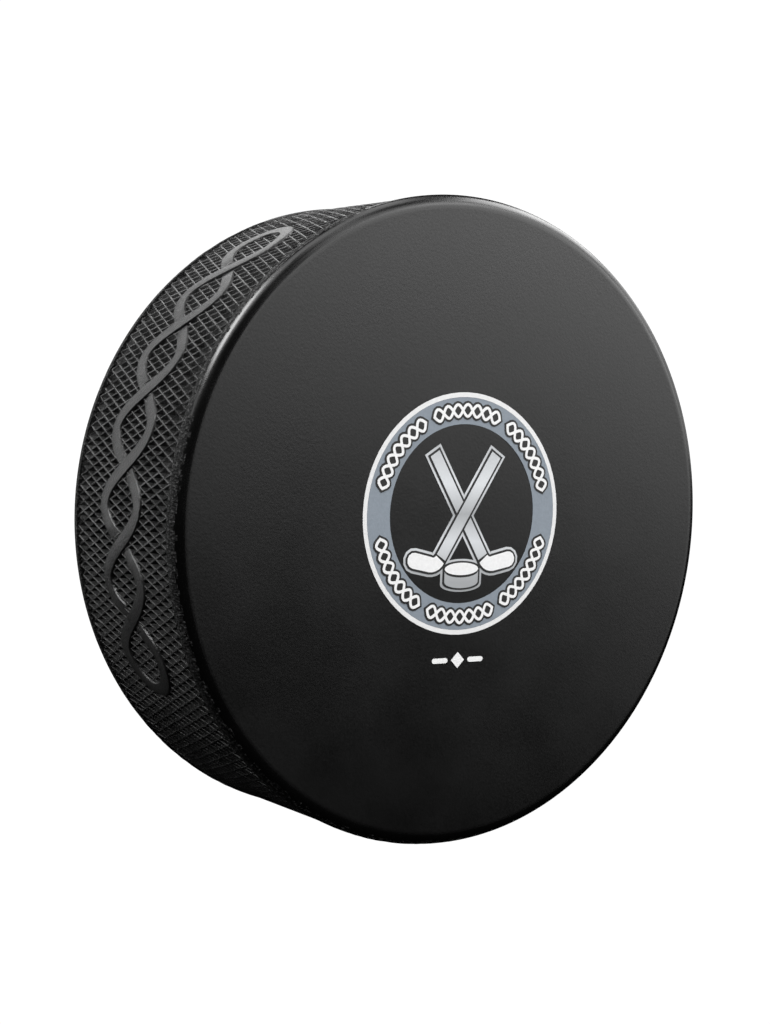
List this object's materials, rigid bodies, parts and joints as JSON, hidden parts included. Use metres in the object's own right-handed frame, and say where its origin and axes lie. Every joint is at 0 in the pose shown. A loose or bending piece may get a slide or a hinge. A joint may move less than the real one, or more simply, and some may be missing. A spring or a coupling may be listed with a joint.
{
  "type": "hockey puck",
  "caption": "Ice hockey puck: a black moulded rubber disc with rounded rims, a textured side band with a raised braid, and a round printed badge with crossed sticks on one face.",
  "frame": {"origin": "centre of the bottom face, with the puck lying flat and its printed face up", "axes": "+Z along the puck's axis towards the printed face, +Y towards the top of the print, +X to the print's right"},
  "size_m": [0.0762, 0.0762, 0.0255],
  "materials": {
    "black_rubber": "satin black vulcanised rubber with a fine grain",
    "white_ink": "light grey-white screen-printing ink, semi-matte",
    "slate_ink": "slate grey screen-printing ink, semi-matte",
    "black_ink": "black screen-printing ink, semi-matte",
    "silver_ink": "silver-grey graded screen-printing ink, semi-matte"
  },
  "bodies": {
    "root": {"puck_body": "black_rubber", "badge_ring": "white_ink", "badge_field": "slate_ink", "trim_upper_left_backing": "black_ink", "trim_upper_middle_backing": "black_ink", "trim_upper_right_backing": "black_ink", "trim_lower_left_backing": "black_ink", "trim_lower_middle_backing": "black_ink", "trim_lower_right_backing": "black_ink", "trim_upper_left_braid": "white_ink", "trim_upper_middle_braid": "white_ink", "trim_upper_right_braid": "white_ink", "trim_lower_left_braid": "white_ink", "trim_lower_middle_braid": "white_ink", "trim_lower_right_braid": "white_ink", "emblem_outline": "silver_ink", "emblem_backing": "black_ink", "front_stick_shaft": "silver_ink", "front_stick_blade": "white_ink", "rear_stick_upper_shaft": "silver_ink", "rear_stick_lower_shaft": "silver_ink", "rear_stick_blade": "white_ink", "small_puck_face": "white_ink", "small_puck_side": "silver_ink", "row_bar_left": "white_ink", "row_lozenge": "white_ink", "row_bar_right": "white_ink"}
  },
  "joints": []
}
